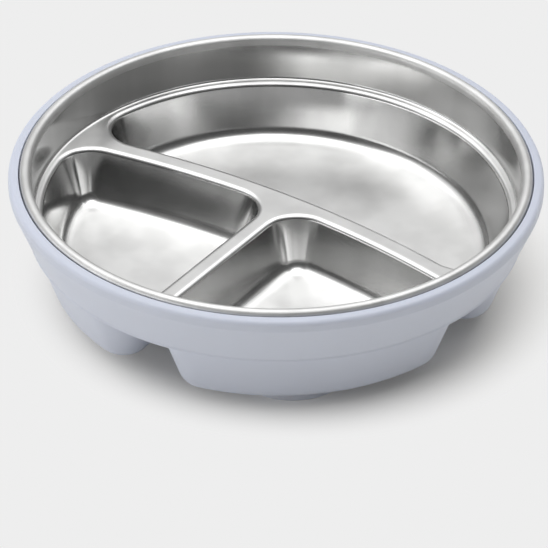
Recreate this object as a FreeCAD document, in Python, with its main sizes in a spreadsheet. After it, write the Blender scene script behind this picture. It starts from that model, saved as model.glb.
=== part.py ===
import FreeCAD, Part
import math
import os
from enum import IntEnum

import Sketcher

# Divided plate for a baby: a pressed steel plate with three compartments rests by its
# rolled rim in a moulded shell, and four suction cups plugged into the shell's floor
# hold it to a table.
# Millimetres, +Z up. The origin is on the table under the middle of the plate. The large
# compartment lies towards +Y and the two small ones towards -Y, left and right of X = 0.
# Heights add up from the table: cup, shell floor, air, steel floor, ledge, rim.

SIZES = {
    # steel plate
    "steel_sheet": 0.6,
    "bead_radius": 2.15,
    "bead_slit": 60.0,  # degrees of curl left open against the wall
    "bowl_depth": 18.5,  # rim crest down to the ledge
    "bowl_draft": 3.8,
    "ledge_radius": 94.2,
    "ledge_width": 3.2,
    "ledge_round": 1.5,
    "compartment_depth": 21.0,
    "compartment_draft": 20.0,  # of the steel and of the shell's pockets
    "compartment_floor_round": 3.2,
    "mouth_round": 1.9,
    "bar_width": 7.9,
    "bar_bend": 396.0,  # radius of the bar's middle line
    "bar_crown": 7.85,  # how far the middle line passes the centre of the plate
    "divider_width": 7.0,
    "tee_corner": 3.2,  # at the floor, where the divider meets the bar
    "rim_corner": 5.9,  # at the floor, beside the rim
    # moulded shell
    "shell_wall": 2.3,
    "shell_floor_round": 7.8,
    "shell_step_width": 0.9,  # flat ring round the pockets, under the side wall
    "shell_foot_round": 0.4,
    "shell_root_round": 0.4,
    "well_mouth_round": 0.5,
    "lip_width": 3.9,
    "lip_fall": 0.6,
    "lip_round": 2.0,
    "lip_band": 4.0,  # upright band under the lip's edge
    "lip_band_round": 1.5,
    "lip_inner_round": 0.4,
    # clearances between the plate and the shell
    "bead_proud": 1.5,  # rim crest above the shell's lip
    "bead_gap": 0.5,
    "bead_seat_gap": 0.1,
    "side_gap": 0.4,
    "ledge_air": 3.5,
    "divider_gap": 1.0,
    "near_bar_gap": 1.7,  # in the small compartments
    "far_bar_gap": 0.4,  # in the large compartment
    "rim_gap": 3.4,
    "tee_corner_extra": 3.0,
    "rim_corner_extra": 3.4,
    "floor_air": 7.0,
    # suction cups
    "cup_drop": 5.3,  # table to the underside of the shell's floor
    "cup_radius": 22.8,
    "cup_spread": 37.4,
    "cup_reach": 43.0,
    "cup_lip": 0.8,
    "cup_bevel": 0.6,
    "cup_foot": 1.2,  # width of the flat ring that meets the table
    "cup_shoulder_radius": 13.0,
    "cup_shoulder_drop": 0.8,
    "cup_shoulder_wall": 2.0,
    "cup_shoulder_round": 9.0,
    "cup_hollow": 3.0,
    "cup_eye_radius": 7.6,
    "cup_eye_depth": 0.7,
    "cup_collar_radius": 9.0,
    "stem_radius": 3.6,
    "stem_gap": 0.15,
    "stem_head_radius": 6.4,
    "stem_head_height": 3.0,
    "stem_head_bevel": 1.4,
}

FULL_TURN = 360.0
HALF_TURN = 180.0
NEAR = 0.01
CORNER_SHARE = 0.95  # of the largest ball that rolls round a floor corner


class Size:
    """A length or angle, held as its value and as the sheet expression that gives it."""

    def __init__(self, value, text):
        self.value = value
        self.text = text

    def __add__(self, other):
        other = as_size(other)
        return Size(self.value + other.value, f"({self.text} + {other.text})")

    def __sub__(self, other):
        other = as_size(other)
        return Size(self.value - other.value, f"({self.text} - {other.text})")

    def __mul__(self, other):
        other = as_size(other)
        return Size(self.value * other.value, f"({self.text} * {other.text})")

    def __truediv__(self, other):
        other = as_size(other)
        return Size(self.value / other.value, f"({self.text} / {other.text})")

    def __neg__(self):
        return Size(-self.value, f"(-{self.text})")


def as_size(number):
    """A plain number as a Size, so that it can stand in a sum."""
    if isinstance(number, Size):
        return number
    return Size(number, repr(number))


def size(alias):
    """The named value of the sheet."""
    return Size(SIZES[alias], "Sizes." + alias)


def tan(angle):
    """Tangent of an angle in degrees."""
    return Size(math.tan(math.radians(angle.value)), f"tan({angle.text})")


def cos(angle):
    """Cosine of an angle in degrees."""
    return Size(math.cos(math.radians(angle.value)), f"cos({angle.text})")


def sin(angle):
    """Sine of an angle in degrees."""
    return Size(math.sin(math.radians(angle.value)), f"sin({angle.text})")


def least(first, second):
    """The smaller of two sizes."""
    return Size(min(first.value, second.value), f"min({first.text}; {second.text})")


document = FreeCAD.newDocument("SuctionPlate")
sheet = document.addObject("Spreadsheet::Sheet", "Sizes")
for row, (alias, value) in enumerate(SIZES.items(), start=1):
    sheet.set(f"A{row}", str(value))
    sheet.setAlias(f"A{row}", alias)
document.recompute()


# Sketches

class Profile:
    """A sketch on an origin plane of its body, with dimensions bound to the sheet."""

    def __init__(self, body, name, plane, height=None):
        self.sketch = body.newObject("Sketcher::SketchObject", name)
        self.sketch.AttachmentSupport = [(origin_plane(body, plane), "")]
        self.sketch.MapMode = "FlatFace"
        if height is not None:
            offset = FreeCAD.Vector(0, 0, height.value)
            self.sketch.AttachmentOffset = FreeCAD.Placement(offset, FreeCAD.Rotation())
            self.sketch.setExpression("AttachmentOffset.Base.z", height.text)

    def line(self, start, end):
        """A straight edge between two points given as numbers."""
        edge = Part.LineSegment(vector(start), vector(end))
        return self.sketch.addGeometry(edge)

    def arc(self, centre, radius, start, end):
        """An arc that turns left from the start point to the end point."""
        circle = Part.Circle(vector(centre), FreeCAD.Vector(0, 0, 1), radius)
        turn = Part.ArcOfCircle(circle, bearing(centre, start), bearing(centre, end))
        return self.sketch.addGeometry(turn)

    def bind(self, kind, *rest):
        """A dimension whose last argument is a Size."""
        amount = rest[-1]
        index = self.sketch.addConstraint(Sketcher.Constraint(kind, *rest[:-1], amount.value))
        self.sketch.setExpression(f"Constraints[{index}]", amount.text)

    def hold(self, kind, *rest):
        """A constraint without a dimension."""
        self.sketch.addConstraint(Sketcher.Constraint(kind, *rest))


class Spot(IntEnum):
    """A point of a sketch edge, as the sketcher numbers them."""

    START = 1
    END = 2
    CENTRE = 3


class Datum(IntEnum):
    """A sketch's own origin and upright axis, as the sketcher numbers them."""

    ORIGIN = -1
    UP_AXIS = -2


def vector(point):
    """A point of a sketch."""
    return FreeCAD.Vector(point[0], point[1], 0)


def bearing(centre, point):
    """Angle of the line from the centre to the point, in radians."""
    return math.atan2(point[1] - centre[1], point[0] - centre[0])


def origin_plane(body, role):
    """One of the body's own origin planes or axes."""
    return next(item for item in body.Origin.OriginFeatures if item.Role == role)


def polygon(body, name, corners):
    """A closed outline in the XZ plane through corners given as (radius, height)."""
    profile = Profile(body, name, "XZ_Plane")
    points = [(radius.value, height.value) for radius, height in corners]
    edges = [profile.line(points[i - 1], points[i]) for i in range(len(points))]
    for i, edge in enumerate(edges):
        after = edges[(i + 1) % len(edges)]
        profile.hold("Coincident", edge, Spot.END, after, Spot.START)
        radius, height = corners[i]
        if abs(radius.value) < NEAR:
            profile.hold("PointOnObject", edge, Spot.END, Datum.UP_AXIS)
        else:
            profile.bind("DistanceX", Datum.ORIGIN, Spot.START, edge, Spot.END, radius)
        if abs(height.value) < NEAR:
            profile.hold("PointOnObject", edge, Spot.END, Datum.ORIGIN)
        else:
            profile.bind("DistanceY", Datum.ORIGIN, Spot.START, edge, Spot.END, height)
    return profile.sketch


# Features

def new_body(name):
    """An empty body whose label names the piece."""
    body = document.addObject("PartDesign::Body", name)
    body.Label = name
    return body


def revolve(body, name, sketch):
    """Turn a profile once round the Z axis."""
    feature = body.newObject("PartDesign::Revolution", name)
    feature.Profile = sketch
    feature.ReferenceAxis = (sketch, ["V_Axis"])
    feature.Angle = FULL_TURN
    document.recompute()
    return feature


def press(body, name, sketch, depth, draft):
    """A tapered pad that goes down from its sketch and narrows."""
    before = body.Shape.Volume
    feature = body.newObject("PartDesign::Pad", name)
    feature.Profile = sketch
    feature.setExpression("Length", depth.text)
    feature.setExpression("TaperAngle", (-draft).text)
    feature.Reversed = True
    document.recompute()
    if feature.Shape.Volume <= before:
        raise RuntimeError(f"{name} points into the solid")
    return feature


def hollow(body, name, form):
    """Cut another body's whole form out of the body."""
    before = body.Shape.Volume
    feature = body.newObject("PartDesign::Boolean", name)
    feature.Type = "Cut"
    feature.setObjects([form])
    document.recompute()
    if feature.Shape.Volume >= before:
        raise RuntimeError(f"{name} cuts nothing")
    return feature


def mirror(body, name, feature):
    """Repeat a feature on the other side of the YZ plane."""
    copy = body.newObject("PartDesign::Mirrored", name)
    copy.Originals = [feature]
    copy.MirrorPlane = (origin_plane(body, "YZ_Plane"), [""])
    body.Tip = copy
    document.recompute()
    return copy


def fillet(body, name, radius, keep):
    """Round the edges of the body that the test keeps."""
    base = body.Tip
    edges = [f"Edge{i + 1}" for i, edge in enumerate(base.Shape.Edges) if keep(edge)]
    if not edges:
        raise RuntimeError(f"{name} finds no edge")
    feature = body.newObject("PartDesign::Fillet", name)
    feature.Base = (base, edges)
    feature.setExpression("Radius", radius.text)
    document.recompute()
    if not feature.isValid():
        raise RuntimeError(f"{name} fails")
    return feature


def samples(edge):
    """Points along an edge."""
    first, last = edge.ParameterRange
    return [edge.valueAt(first + (last - first) * share / 4) for share in range(5)]


def at_height(edge, height):
    """Whether an edge lies level at a height."""
    return all(abs(point.z - height.value) < NEAR for point in samples(edge))


def reach(edge):
    """The largest distance of an edge from the Z axis."""
    return max(math.hypot(point.x, point.y) for point in samples(edge))


# Heights above the table

ZERO = as_size(0.0)
SHEET = size("steel_sheet")
SHELL_WALL = size("shell_wall")

shell_underside = size("cup_drop")
shell_floor = shell_underside + SHELL_WALL
steel_underside = shell_floor + size("floor_air")
steel_floor = steel_underside + SHEET
ledge_top = steel_floor + size("compartment_depth")
ledge_underside = ledge_top - SHEET
crest = ledge_top + size("bowl_depth")
bead_centre = crest - size("bead_radius")
rabbet_floor = bead_centre - size("bead_radius") - size("bead_seat_gap")
lip_top = crest - size("bead_proud")
step_top = ledge_underside - size("ledge_air")
step_underside = step_top - SHELL_WALL

# Radii at the rim

mouth_radius = size("ledge_radius") - size("ledge_width")
mouth_spread = size("compartment_depth") * tan(size("compartment_draft"))
mouth_tee = size("tee_corner") + mouth_spread
mouth_corner = size("rim_corner") + mouth_spread
side_draft = tan(size("bowl_draft"))
side_skin = SHEET / cos(size("bowl_draft"))


def bowl_side(height):
    """Radius of the steel's upper wall, inside, at a height."""
    return size("ledge_radius") + (height - ledge_top) * side_draft


bead_ring = bowl_side(bead_centre) + size("bead_radius") / cos(size("bowl_draft"))
rabbet_radius = bead_ring + size("bead_radius") + size("bead_gap")
lip_radius = rabbet_radius + size("lip_width")


# Compartment outlines

class Spread:
    """How far a skin's outlines stand off the steel's mouth edges."""

    def __init__(self, divider, near_bar, far_bar, rim):
        self.divider = divider
        self.near_bar = near_bar
        self.far_bar = far_bar
        self.rim = rim

    def plus(self, more):
        """The same spread, wider by one amount all round."""
        return Spread(self.divider + more, self.near_bar + more, self.far_bar + more, self.rim + more)


NO_SPREAD = Spread(ZERO, ZERO, ZERO, ZERO)


class Outlines:
    """Outlines of the three compartments at one level of one skin."""

    def __init__(self, spread, tee_corner, rim_corner):
        half_bar = size("bar_width") / 2
        self.rim = mouth_radius + spread.rim
        self.pivot = size("bar_bend") - size("bar_crown")
        self.near_bend = size("bar_bend") - half_bar + spread.near_bar
        self.far_bend = size("bar_bend") + half_bar - spread.far_bar
        self.half_divider = size("divider_width") / 2 - spread.divider
        self.tee_corner = tee_corner
        self.rim_corner = rim_corner

    def draw_large(self, body, name, height):
        """The half-moon compartment beyond the bar: rim arc, two corners and bar arc."""
        rim, bend, corner = self.rim.value, self.far_bend.value, self.rim_corner.value
        pivot = (0, -self.pivot.value)
        right = meeting(rim - corner, pivot[1], bend + corner)
        left = (-right[0], right[1])
        rim_right, rim_left = beyond((0, 0), right, rim), beyond((0, 0), left, rim)
        bar_right, bar_left = beyond(pivot, right, bend), beyond(pivot, left, bend)
        profile = Profile(body, name, "XY_Plane", height)
        rim_arc = profile.arc((0, 0), rim, rim_right, rim_left)
        left_arc = profile.arc(left, corner, rim_left, bar_left)
        bar_arc = profile.arc(pivot, bend, bar_right, bar_left)
        right_arc = profile.arc(right, corner, bar_right, rim_right)
        profile.hold("Tangent", rim_arc, Spot.END, left_arc, Spot.START)
        profile.hold("Tangent", left_arc, Spot.END, bar_arc, Spot.END)
        profile.hold("Tangent", bar_arc, Spot.START, right_arc, Spot.START)
        profile.hold("Tangent", right_arc, Spot.END, rim_arc, Spot.START)
        self.centre_arcs(profile, rim_arc, bar_arc, self.far_bend)
        profile.bind("Radius", left_arc, self.rim_corner)
        profile.bind("Radius", right_arc, self.rim_corner)
        return profile.sketch

    def draw_small(self, body, name, height):
        """The right compartment: divider side, corner, rim arc, corner, bar arc, corner."""
        rim, bend = self.rim.value, self.near_bend.value
        corner, tee, side = self.rim_corner.value, self.tee_corner.value, self.half_divider.value
        pivot = (0, -self.pivot.value)
        near = (side + corner, -math.sqrt((rim - corner) ** 2 - (side + corner) ** 2))
        far = meeting(rim - corner, pivot[1], bend - corner)
        inner = (side + tee, pivot[1] + math.sqrt((bend - tee) ** 2 - (side + tee) ** 2))
        rim_near, rim_far = beyond((0, 0), near, rim), beyond((0, 0), far, rim)
        bar_far, bar_inner = beyond(pivot, far, bend), beyond(pivot, inner, bend)
        profile = Profile(body, name, "XY_Plane", height)
        divider = profile.line((side, inner[1]), (side, near[1]))
        near_arc = profile.arc(near, corner, (side, near[1]), rim_near)
        rim_arc = profile.arc((0, 0), rim, rim_near, rim_far)
        far_arc = profile.arc(far, corner, rim_far, bar_far)
        bar_arc = profile.arc(pivot, bend, bar_far, bar_inner)
        tee_arc = profile.arc(inner, tee, bar_inner, (side, inner[1]))
        loop = [divider, near_arc, rim_arc, far_arc, bar_arc, tee_arc]
        for i, edge in enumerate(loop):
            profile.hold("Tangent", loop[i - 1], Spot.END, edge, Spot.START)
        profile.hold("Vertical", divider)
        profile.bind("DistanceX", Datum.ORIGIN, Spot.START, divider, Spot.START, self.half_divider)
        self.centre_arcs(profile, rim_arc, bar_arc, self.near_bend)
        profile.bind("Radius", near_arc, self.rim_corner)
        profile.bind("Radius", far_arc, self.rim_corner)
        profile.bind("Radius", tee_arc, self.tee_corner)
        return profile.sketch

    def centre_arcs(self, profile, rim_arc, bar_arc, bend):
        """Centre the rim arc on the plate and the bar arc on its pivot."""
        profile.hold("Coincident", rim_arc, Spot.CENTRE, Datum.ORIGIN, Spot.START)
        profile.bind("Radius", rim_arc, self.rim)
        profile.hold("PointOnObject", bar_arc, Spot.CENTRE, Datum.UP_AXIS)
        profile.bind("DistanceY", bar_arc, Spot.CENTRE, Datum.ORIGIN, Spot.START, self.pivot)
        profile.bind("Radius", bar_arc, bend)


def meeting(rim_distance, pivot, pivot_distance):
    """The point with X > 0 at given distances from the origin and from (0, pivot)."""
    y = (rim_distance ** 2 - pivot_distance ** 2 + pivot ** 2) / (2 * pivot)
    return math.sqrt(rim_distance ** 2 - y ** 2), y


def beyond(centre, point, distance):
    """The point at a distance from the centre, on the line through another point."""
    share = distance / math.hypot(point[0] - centre[0], point[1] - centre[1])
    return (centre[0] + (point[0] - centre[0]) * share, centre[1] + (point[1] - centre[1]) * share)


class Level:
    """Where a form's compartments start, how deep they go and how they are drafted."""

    def __init__(self, top, bottom, draft, floor_round, mouth_round):
        self.top = top
        self.bottom = bottom
        self.draft = draft
        self.floor_round = floor_round
        self.mouth_round = mouth_round


def floor_round(outlines, level):
    """The floor's rounding, no larger than the narrowest floor corner takes."""
    narrowest = outlines.tee_corner - (level.top - level.bottom) * tan(level.draft)
    room = narrowest / (as_size(1) / cos(level.draft) - tan(level.draft))
    return least(level.floor_round, room * CORNER_SHARE)


def press_compartments(body, outlines, level):
    """Tapered pads for the three compartments, rounded at their floors and mouths."""
    name = body.Name
    depth = level.top - level.bottom
    large = outlines.draw_large(body, f"{name}_large_outline", level.top)
    press(body, f"{name}_large", large, depth, level.draft)
    small = outlines.draw_small(body, f"{name}_small_outline", level.top)
    right = press(body, f"{name}_small_right", small, depth, level.draft)
    mirror(body, f"{name}_small_left", right)
    fillet(body, f"{name}_floor_round", floor_round(outlines, level),
           lambda edge: at_height(edge, level.bottom))
    fillet(body, f"{name}_mouth_round", level.mouth_round,
           lambda edge: at_height(edge, level.top) and reach(edge) < outlines.rim.value + NEAR)


# Steel plate: bowl, rolled rim and three pressed compartments

def bead_point(radius):
    """Where the upper wall runs into the curl, for one skin of the sheet."""
    across = bead_ring - radius * cos(size("bowl_draft"))
    return across, bead_centre + radius * sin(size("bowl_draft"))


def build_curl(body):
    """The rolled rim: the sheet curls outwards and stops short of its own wall."""
    outer = size("bead_radius")
    inner = outer - SHEET
    start = as_size(HALF_TURN) - size("bowl_draft")
    end = as_size(HALF_TURN) + size("bead_slit")
    centre = (bead_ring.value, bead_centre.value)

    def on_circle(radius, angle):
        turn = math.radians(angle.value)
        return (centre[0] + radius.value * math.cos(turn), centre[1] + radius.value * math.sin(turn))

    profile = Profile(body, "CurlSection", "XZ_Plane")
    outer_arc = profile.arc(centre, outer.value, on_circle(outer, end), on_circle(outer, start))
    inner_arc = profile.arc(centre, inner.value, on_circle(inner, end), on_circle(inner, start))
    root = profile.line(on_circle(inner, start), on_circle(outer, start))
    tip = profile.line(on_circle(inner, end), on_circle(outer, end))
    profile.hold("Coincident", root, Spot.START, inner_arc, Spot.END)
    profile.hold("Coincident", root, Spot.END, outer_arc, Spot.END)
    profile.hold("Coincident", tip, Spot.START, inner_arc, Spot.START)
    profile.hold("Coincident", tip, Spot.END, outer_arc, Spot.START)
    profile.hold("Coincident", inner_arc, Spot.CENTRE, outer_arc, Spot.CENTRE)
    profile.bind("DistanceX", Datum.ORIGIN, Spot.START, outer_arc, Spot.CENTRE, bead_ring)
    profile.bind("DistanceY", Datum.ORIGIN, Spot.START, outer_arc, Spot.CENTRE, bead_centre)
    profile.bind("Radius", outer_arc, outer)
    profile.bind("Radius", inner_arc, inner)
    profile.hold("PointOnObject", outer_arc, Spot.CENTRE, root)
    profile.hold("PointOnObject", outer_arc, Spot.CENTRE, tip)
    profile.bind("DistanceX", root, Spot.END, outer_arc, Spot.CENTRE, outer * cos(size("bowl_draft")))
    profile.bind("DistanceX", tip, Spot.END, outer_arc, Spot.CENTRE, outer * cos(size("bead_slit")))
    return revolve(body, "Curl", profile.sketch)


def build_steel_plate():
    """The plate as one pressed sheet: an outer form less an inner form, and its curl."""
    body = new_body("steel_plate")
    draft = size("compartment_draft")
    root_inner, root_outer = bead_point(size("bead_radius")), bead_point(size("bead_radius") - SHEET)
    revolve(body, "BowlOutside", polygon(body, "BowlOutsideSection", [
        (ZERO, ledge_underside),
        (bowl_side(ledge_underside) + side_skin, ledge_underside),
        root_outer,
        root_inner,
        (ZERO, root_inner[1]),
    ]))
    fillet(body, "LedgeOutsideRound", size("ledge_round") + SHEET,
           lambda edge: at_height(edge, ledge_underside))
    skin = SHEET / cos(draft) - SHEET * tan(draft)
    press_compartments(
        body,
        Outlines(NO_SPREAD.plus(skin), mouth_tee + skin, mouth_corner + skin),
        Level(ledge_underside, steel_underside, draft,
              size("compartment_floor_round") + SHEET, size("mouth_round") - SHEET))

    inside = new_body("steel_inside")
    revolve(inside, "BowlInside", polygon(inside, "BowlInsideSection", [
        (ZERO, ledge_top),
        (bowl_side(ledge_top), ledge_top),
        (bowl_side(crest), crest),
        (ZERO, crest),
    ]))
    fillet(inside, "LedgeRound", size("ledge_round"),
           lambda edge: at_height(edge, ledge_top))
    press_compartments(
        inside,
        Outlines(NO_SPREAD, mouth_tee, mouth_corner),
        Level(ledge_top, steel_floor, draft,
              size("compartment_floor_round"), size("mouth_round")))
    hollow(body, "SteelHollow", inside)
    build_curl(body)
    return body


# Shell: rim with a rabbet for the bead, side wall, step and three pockets

def build_shell():
    """The moulded shell, with a hole in its floor for the stem of each cup."""
    body = new_body("outer_shell")
    draft = size("compartment_draft")
    steel_skin = SHEET / cos(draft) - (ledge_top - step_top) * tan(draft)
    gaps = Spread(size("divider_gap"), size("near_bar_gap"), size("far_bar_gap"), size("rim_gap"))
    spread = gaps.plus(steel_skin)
    tee = mouth_tee + steel_skin + size("tee_corner_extra")
    corner = mouth_corner + steel_skin + size("rim_corner_extra")
    thick = SHELL_WALL / cos(draft) - SHELL_WALL * tan(draft)
    outlines = Outlines(spread.plus(thick), tee + thick, corner + thick)
    lip_edge = lip_top - size("lip_fall")
    band_edge = lip_edge - size("lip_band")
    revolve(body, "ShellOutside", polygon(body, "ShellOutsideSection", [
        (ZERO, step_underside),
        (outlines.rim + size("shell_step_width"), step_underside),
        (lip_radius, band_edge),
        (lip_radius, lip_edge),
        (rabbet_radius, lip_top),
        (ZERO, lip_top),
    ]))
    fillet(body, "LipRound", size("lip_round"), lambda edge: at_height(edge, lip_edge))
    fillet(body, "BandRound", size("lip_band_round"), lambda edge: at_height(edge, band_edge))
    fillet(body, "FootRound", size("shell_foot_round"),
           lambda edge: at_height(edge, step_underside))
    press_compartments(
        body,
        outlines,
        Level(step_underside, shell_underside, draft,
              size("shell_floor_round"), size("shell_root_round")))

    inside = new_body("shell_inside")
    cavity = side_skin + size("side_gap")
    revolve(inside, "ShellInside", polygon(inside, "ShellInsideSection", [
        (ZERO, step_top),
        (bowl_side(step_top) + cavity, step_top),
        (bowl_side(rabbet_floor) + cavity, rabbet_floor),
        (rabbet_radius, rabbet_floor),
        (rabbet_radius, crest),
        (ZERO, crest),
    ]))
    press_compartments(
        inside,
        Outlines(spread, tee, corner),
        Level(step_top, shell_floor, draft,
              size("shell_floor_round") - SHELL_WALL, size("well_mouth_round")))
    hollow(body, "ShellHollow", inside)
    fillet(body, "LipInnerRound", size("lip_inner_round"),
           lambda edge: at_height(edge, lip_top))
    drill_stem_holes(body)
    return body


def cup_places():
    """Name and centre of each suction cup, seen from above."""
    return [
        ("front_left", -size("cup_spread"), -size("cup_reach")),
        ("front_right", size("cup_spread"), -size("cup_reach")),
        ("rear_left", -size("cup_spread"), size("cup_reach")),
        ("rear_right", size("cup_spread"), size("cup_reach")),
    ]


def drill_stem_holes(body):
    """A round hole in the shell's floor above each cup."""
    radius = size("stem_radius") + size("stem_gap")
    profile = Profile(body, "StemHoles", "XY_Plane", shell_floor)
    for _, across, along in cup_places():
        spot = FreeCAD.Vector(across.value, along.value, 0)
        circle = profile.sketch.addGeometry(Part.Circle(spot, FreeCAD.Vector(0, 0, 1), radius.value))
        profile.bind("Radius", circle, radius)
        profile.bind("DistanceX", Datum.ORIGIN, Spot.START, circle, Spot.CENTRE, across)
        profile.bind("DistanceY", Datum.ORIGIN, Spot.START, circle, Spot.CENTRE, along)
    before = body.Shape.Volume
    holes = body.newObject("PartDesign::Pocket", "StemHole")
    holes.Profile = profile.sketch
    holes.setExpression("Length", SHELL_WALL.text)
    document.recompute()
    if holes.Shape.Volume >= before:
        raise RuntimeError("the stem holes cut nothing")


# Suction cups: disc, stem through the shell's floor and button inside the shell

def build_cup(name, across, along):
    """A soft cup, turned about its own axis and plugged in at its place."""
    body = new_body(f"suction_cup_{name}")
    cup, collar, stem = size("cup_radius"), size("cup_collar_radius"), size("stem_radius")
    head, eye, bevel = size("stem_head_radius"), size("cup_eye_radius"), size("stem_head_bevel")
    shoulder, shoulder_top = size("cup_shoulder_radius"), shell_underside - size("cup_shoulder_drop")
    shoulder_under = shoulder_top - size("cup_shoulder_wall")
    hollow_top = size("cup_hollow")
    head_top = shell_floor + size("stem_head_height")
    section = polygon(body, f"CupSection_{name}", [
        (ZERO, hollow_top + size("cup_eye_depth")),
        (eye, hollow_top + size("cup_eye_depth")),
        (eye, hollow_top),
        (shoulder, shoulder_under),
        (cup - size("cup_bevel") - size("cup_foot"), ZERO),
        (cup - size("cup_bevel"), ZERO),
        (cup, size("cup_lip")),
        (shoulder, shoulder_top),
        (collar, shell_underside),
        (stem, shell_underside),
        (stem, shell_floor),
        (head, shell_floor),
        (head - bevel, head_top),
        (ZERO, head_top),
    ])
    revolve(body, f"Cup_{name}", section)
    fillet(body, f"CupShoulder_{name}", size("cup_shoulder_round"),
           lambda edge: at_height(edge, shoulder_top) or at_height(edge, shoulder_under))
    body.Placement = FreeCAD.Placement(FreeCAD.Vector(across.value, along.value, 0), FreeCAD.Rotation())
    body.setExpression("Placement.Base.x", across.text)
    body.setExpression("Placement.Base.y", along.text)
    return body


pieces = [build_steel_plate(), build_shell()]
for cup_name, cup_across, cup_along in cup_places():
    pieces.append(build_cup(cup_name, cup_across, cup_along))
document.recompute()

for item in document.Objects:
    if "Invalid" in item.State or "Error" in item.State:
        raise RuntimeError(f"{item.Name} failed: {item.State}")
for piece in pieces:
    if piece.Shape.isNull() or not piece.Shape.isValid():
        raise RuntimeError(f"{piece.Label} has no valid shape")

os.makedirs("parts", exist_ok=True)
for piece in pieces:
    piece.Shape.exportStep(f"parts/{piece.Label}.step")
    print(piece.Label, len(piece.Shape.Solids), round(piece.Shape.Volume, 1), piece.Shape.BoundBox)
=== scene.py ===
"""Looks of a divided baby plate: a pressed steel dish in a moulded shell on suction cups.

Lengths are metres and +Z is up. The origin is on the table under the middle of the plate,
the large compartment lies towards +Y and the two small ones towards -Y.
"""

import logging
import math
from collections.abc import Iterable
from dataclasses import dataclass
from enum import Enum

import bmesh
import bpy
from mathutils import Matrix, Vector


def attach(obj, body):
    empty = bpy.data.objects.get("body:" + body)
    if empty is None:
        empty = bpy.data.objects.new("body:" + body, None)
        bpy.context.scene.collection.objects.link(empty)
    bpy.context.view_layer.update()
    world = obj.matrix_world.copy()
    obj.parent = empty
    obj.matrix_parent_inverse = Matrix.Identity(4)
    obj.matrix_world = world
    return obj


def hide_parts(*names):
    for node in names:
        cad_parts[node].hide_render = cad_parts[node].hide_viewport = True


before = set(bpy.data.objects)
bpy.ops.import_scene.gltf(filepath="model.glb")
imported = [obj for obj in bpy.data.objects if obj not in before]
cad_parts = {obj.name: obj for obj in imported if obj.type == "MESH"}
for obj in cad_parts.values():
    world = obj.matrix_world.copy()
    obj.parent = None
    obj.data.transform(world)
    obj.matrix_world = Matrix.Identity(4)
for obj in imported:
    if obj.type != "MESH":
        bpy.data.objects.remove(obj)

LOG = logging.getLogger("divided_plate")
TIDY = 1e-6  # points nearer than this are one point
Point = tuple[float, float]
Colour = tuple[float, float, float]
Socket = bpy.types.NodeSocket
NodeTree = bpy.types.NodeTree
Material = bpy.types.Material
Mesh = bpy.types.Mesh
Node = bpy.types.Node
Thing = bpy.types.Object
Feeds = dict[str | int, object]  # a socket or a value by a node's input name or place


class Facing(Enum):
    """Which side of the plate's middle line a small compartment lies on."""

    RIGHT = 1
    LEFT = -1


# Sizes

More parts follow.
